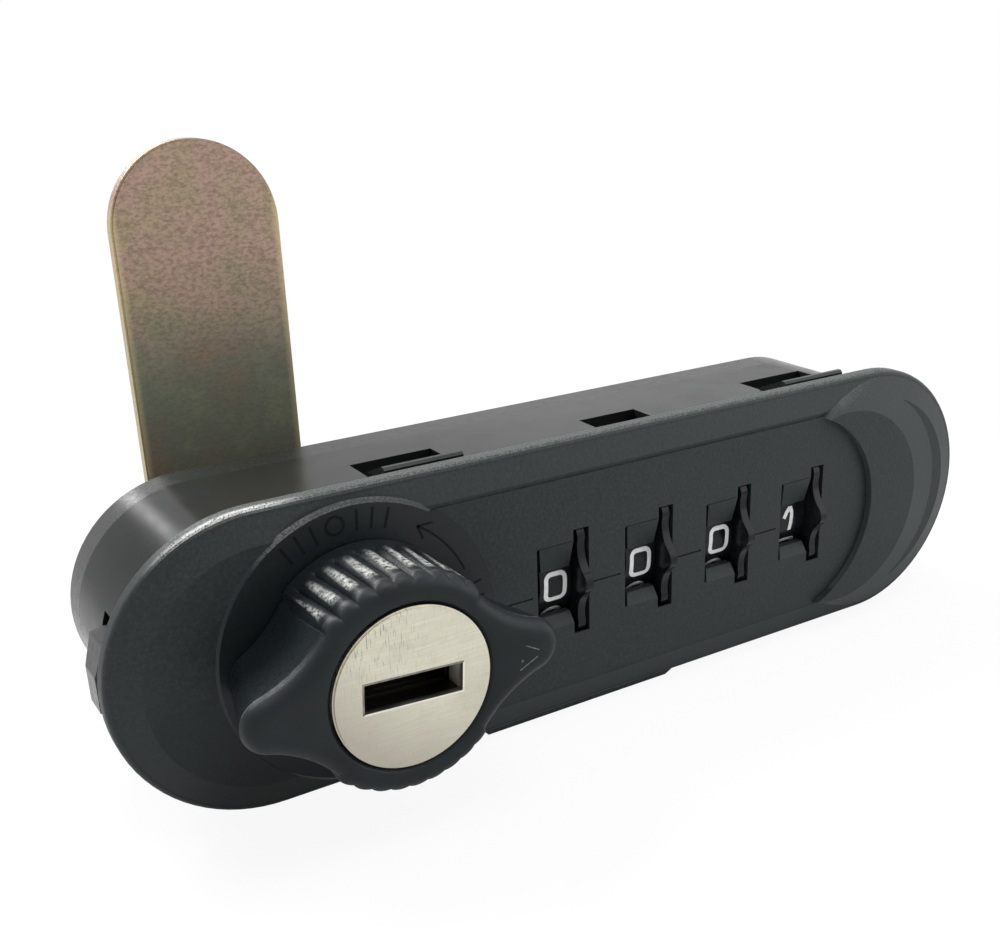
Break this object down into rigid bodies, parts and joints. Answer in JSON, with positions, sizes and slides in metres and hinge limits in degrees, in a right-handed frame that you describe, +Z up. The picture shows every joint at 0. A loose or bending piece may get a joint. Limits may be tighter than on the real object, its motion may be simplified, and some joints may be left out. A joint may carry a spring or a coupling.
{
  "type": "combination cam lock",
  "caption": "Locker lock with thumb-wheel code dials, a winged turning knob with a key plug, a snap-in housing and a flat cam.",
  "frame": {"origin": "middle of the plane where the flange rests on the door panel, half way between the two round ends", "axes": "+X along the face from the knob to the dials, +Y into the door, +Z up, the way the cam points at rest"},
  "size_m": [0.1232, 0.0591, 0.0685],
  "materials": {
    "face": "fine spark-eroded texture, matt",
    "cover": "smooth moulded",
    "knob": "satin moulded",
    "dial": "smooth, white printed digits",
    "clip": "smooth moulded",
    "nickel": "brushed nickel plate",
    "cam": "yellow passivated zinc",
    "spindle": "zinc die casting",
    "steel": "bright drawn",
    "spring": "polished spring steel",
    "brass": "satin",
    "zinc": "bright zinc plate"
  },
  "bodies": {
    "housing": {"face_housing": "face", "rear_cover": "cover", "cover_screws": "zinc", "dial_shaft": "steel", "detent_spring": "spring"},
    "knob_and_cam": {"knob": "knob", "knob_screws": "zinc", "spindle": "spindle", "spindle_clip": "spring", "drive_disc": "brass", "cam_spacer": "brass", "cam": "cam", "cam_washer": "zinc", "cam_nut": "zinc"},
    "key_cylinder": {"key_plug": "nickel", "plug_wafers": "brass", "plug_clip": "spring"},
    "slider": {"locking_slider": "steel"},
    "dial_set_1": {"dial_1": "dial", "code_wheel_1": "brass"},
    "dial_set_2": {"dial_2": "dial", "code_wheel_2": "brass"},
    "dial_set_3": {"dial_3": "dial", "code_wheel_3": "brass"},
    "dial_set_4": {"dial_4": "dial", "code_wheel_4": "brass"},
    "snap_top_left": {"clip_top_left": "clip"},
    "snap_top_right": {"clip_top_right": "clip"},
    "snap_bottom_left": {"clip_bottom_left": "clip"},
    "snap_bottom_right": {"clip_bottom_right": "clip"},
    "snap_left_end": {"clip_left_end": "clip"},
    "snap_right_end": {"clip_right_end": "clip"}
  },
  "joints": [
    {"name": "knob_turn", "type": "hinge", "parent": "housing", "child": "knob_and_cam", "pos_m": [-0.0341, 0, 0], "axis": [0, -1, 0], "range_deg": [0, 90]},
    {"name": "key_turn", "type": "hinge", "parent": "knob_and_cam", "child": "key_cylinder", "pos_m": [-0.0341, -0.0157, 0], "axis": [0, -1, 0], "range_deg": [0, 90]},
    {"name": "slider_slide", "type": "slide", "parent": "housing", "child": "slider", "axis": [1, 0, 0], "range_m": [0, 0.0029]},
    {"name": "dial_1_turn", "type": "hinge", "parent": "housing", "child": "dial_set_1", "pos_m": [-0.0084, 0.006, 0], "axis": [1, 0, 0], "continuous": true},
    {"name": "dial_2_turn", "type": "hinge", "parent": "housing", "child": "dial_set_2", "pos_m": [0.0043, 0.006, 0], "axis": [1, 0, 0], "continuous": true},
    {"name": "dial_3_turn", "type": "hinge", "parent": "housing", "child": "dial_set_3", "pos_m": [0.017, 0.006, 0], "axis": [1, 0, 0], "continuous": true},
    {"name": "dial_4_turn", "type": "hinge", "parent": "housing", "child": "dial_set_4", "pos_m": [0.0297, 0.006, 0], "axis": [1, 0, 0], "continuous": true},
    {"name": "clip_top_left_flex", "type": "hinge", "parent": "housing", "child": "snap_top_left", "pos_m": [-0.0213, 0.0175, 0.0123], "axis": [1, 0, 0], "range_deg": [0, 6], "stiffness_Nm_per_rad": 0.05},
    {"name": "clip_top_right_flex", "type": "hinge", "parent": "housing", "child": "snap_top_right", "pos_m": [0.0391, 0.0175, 0.0123], "axis": [1, 0, 0], "range_deg": [0, 6], "stiffness_Nm_per_rad": 0.05},
    {"name": "clip_bottom_left_flex", "type": "hinge", "parent": "housing", "child": "snap_bottom_left", "pos_m": [-0.0213, 0.0175, -0.0123], "axis": [-1, 0, 0], "range_deg": [0, 6], "stiffness_Nm_per_rad": 0.05},
    {"name": "clip_bottom_right_flex", "type": "hinge", "parent": "housing", "child": "snap_bottom_right", "pos_m": [0.0391, 0.0175, -0.0123], "axis": [-1, 0, 0], "range_deg": [0, 6], "stiffness_Nm_per_rad": 0.05},
    {"name": "clip_left_end_flex", "type": "hinge", "parent": "housing", "child": "snap_left_end", "pos_m": [-0.0557, 0.0175, 0], "axis": [0, 0, 1], "range_deg": [0, 6], "stiffness_Nm_per_rad": 0.05},
    {"name": "clip_right_end_flex", "type": "hinge", "parent": "housing", "child": "snap_right_end", "pos_m": [0.0557, 0.0175, 0], "axis": [0, 0, -1], "range_deg": [0, 6], "stiffness_Nm_per_rad": 0.05}
  ],
  "couplings": [
    {"joint": "slider_slide", "follows": "knob_turn", "m_per_rad": 0.001846}
  ]
}
